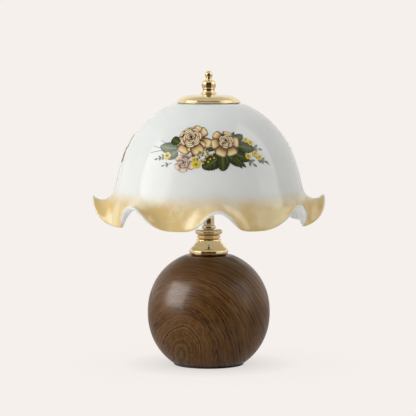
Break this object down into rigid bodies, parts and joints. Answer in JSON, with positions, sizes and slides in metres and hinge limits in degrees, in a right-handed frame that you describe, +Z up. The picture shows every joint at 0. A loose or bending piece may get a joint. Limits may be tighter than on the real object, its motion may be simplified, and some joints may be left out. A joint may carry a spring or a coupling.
{
  "type": "table lamp",
  "caption": "Table lamp with a wooden ball base, a turned brass neck and a domed opal glass shade with a crimped, wavy rim, held by a finial on a harp.",
  "frame": {"origin": "centre of the felt foot's underside, on the lamp's upright axis", "axes": "+Z up along the tube, -Y towards the front, +X to the right seen from the front"},
  "size_m": [0.2504, 0.2456, 0.3134],
  "materials": {
    "walnut": "satin",
    "polished_brass": "polished",
    "plain_brass": "satin",
    "contact_brass": "plain",
    "opal_glass": "glossy opal white with a gold lustre band at the rim",
    "bulb_glass": "clear",
    "felt": "felt",
    "iron": "as cast",
    "plated_steel": "plated",
    "black_plastic": "satin",
    "moulded_plastic": "moulded",
    "rubber": "plain"
  },
  "bodies": {
    "base": {"felt_pad": "felt", "wood_ball": "walnut", "base_weight": "iron", "bottom_washer": "plated_steel", "bottom_locknut": "plated_steel", "cord_bush": "black_plastic", "threaded_tube": "plated_steel", "neck_washer": "black_plastic", "neck_base": "polished_brass", "neck_collar": "polished_brass", "neck_flange": "polished_brass", "tube_collar": "polished_brass", "tube_sleeve": "polished_brass", "harp_saddle": "plain_brass", "harp": "plain_brass", "harp_stud": "plated_steel", "shade_rest": "plain_brass", "shade_washer": "rubber", "lampholder_cap": "plain_brass", "lampholder_shell": "plain_brass", "lampholder_core": "moulded_plastic", "screw_shell": "contact_brass", "centre_contact": "contact_brass", "bulb_cap": "plated_steel", "bulb_contact": "contact_brass", "bulb_glass": "bulb_glass", "bulb_stem": "bulb_glass", "bulb_filament": "contact_brass"},
    "shade": {"glass_shade": "opal_glass", "shade_bush": "rubber", "shade_cap": "polished_brass"},
    "finial_seat": {"finial_washer": "polished_brass"},
    "finial": {"finial": "polished_brass"},
    "switch": {"switch_knob": "black_plastic"},
    "ferrule_left": {"harp_ferrule_left": "plain_brass"},
    "ferrule_right": {"harp_ferrule_right": "plain_brass"}
  },
  "joints": [
    {"name": "shade_turn", "type": "hinge", "parent": "base", "child": "shade", "pos_m": [0, 0, 0.28027], "axis": [0, 0, 1], "continuous": true},
    {"name": "finial_lift", "type": "slide", "parent": "base", "child": "finial_seat", "axis": [0, 0, 1], "range_m": [0, 0.00601]},
    {"name": "finial_turn", "type": "hinge", "parent": "finial_seat", "child": "finial", "pos_m": [0, 0, 0.29035], "axis": [0, 0, 1], "range_deg": [0, 2160]},
    {"name": "switch_turn", "type": "hinge", "parent": "base", "child": "switch", "pos_m": [0, -0.02, 0.18447], "axis": [0, -1, 0], "continuous": true},
    {"name": "ferrule_left_slide", "type": "slide", "parent": "base", "child": "ferrule_left", "axis": [0, 0, 1], "range_m": [0, 0.0095]},
    {"name": "ferrule_right_slide", "type": "slide", "parent": "base", "child": "ferrule_right", "axis": [0, 0, 1], "range_m": [0, 0.0095]}
  ],
  "couplings": [
    {"joint": "finial_lift", "follows": "finial_turn", "m_per_rad": 0.00015915}
  ]
}
